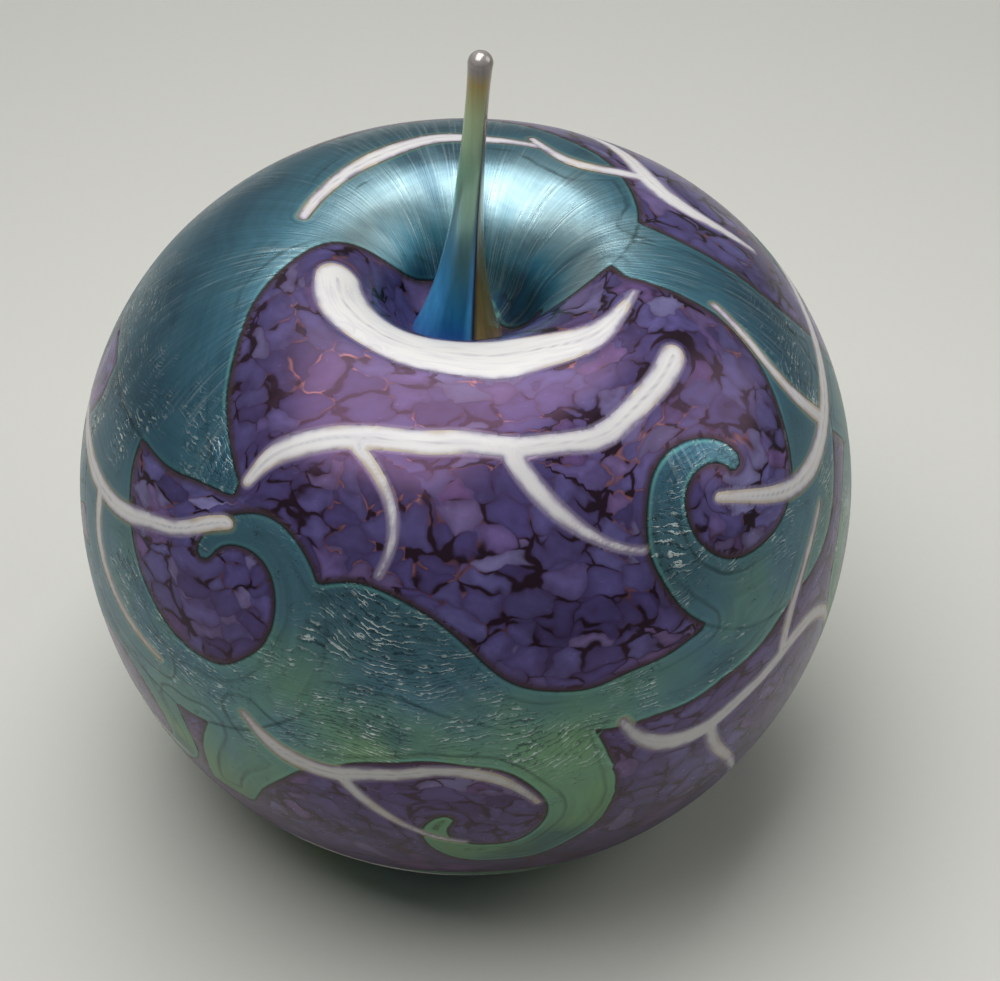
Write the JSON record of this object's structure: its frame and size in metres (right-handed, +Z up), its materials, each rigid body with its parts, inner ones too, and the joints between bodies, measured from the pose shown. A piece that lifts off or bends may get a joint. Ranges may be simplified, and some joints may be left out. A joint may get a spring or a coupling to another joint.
{
  "type": "art glass apple",
  "caption": "Solid glass apple paperweight with a deep well, a drawn stem, a ground foot, hooked lustre trails and white threads in a violet frit casing.",
  "frame": {"origin": "middle of the ground flat foot, on the surface the apple stands on", "axes": "+Z up along the body's axis, through the well; the front of the apple faces -Y"},
  "size_m": [0.08, 0.08, 0.0907],
  "materials": {
    "clear_glass": "solid clear glass, ground and polished at the foot",
    "frit_casing": "violet frit chips in dark glass, fire polished",
    "lustre_glass": "silvered teal glass with a fumed satin lustre",
    "white_glass": "opal white glass thread, marvered flush",
    "stem_glass": "drawn lustre glass, blue at the foot and olive green towards the tip"
  },
  "bodies": {
    "root": {"back_base_thread": "white_glass", "back_base_trail": "lustre_glass", "back_shoulder_trail": "lustre_glass", "back_thread": "white_glass", "casing": "frit_casing", "crown_thread": "white_glass", "crown_wrap": "lustre_glass", "foot_wrap": "lustre_glass", "front_base_thread": "white_glass", "front_base_trail": "lustre_glass", "front_belt_trail": "lustre_glass", "front_thread": "white_glass", "heart": "clear_glass", "left_back_base_trail": "lustre_glass", "left_back_shoulder_trail": "lustre_glass", "left_base_thread": "white_glass", "left_base_trail": "lustre_glass", "left_shoulder_trail": "lustre_glass", "left_thread": "white_glass", "lip_wrap": "white_glass", "low_thread": "white_glass", "right_back_shoulder_trail": "lustre_glass", "right_base_thread": "white_glass", "right_base_trail": "lustre_glass", "right_shoulder_thread": "white_glass", "right_shoulder_trail": "lustre_glass", "right_thread": "white_glass", "stem": "stem_glass"}
  },
  "joints": []
}
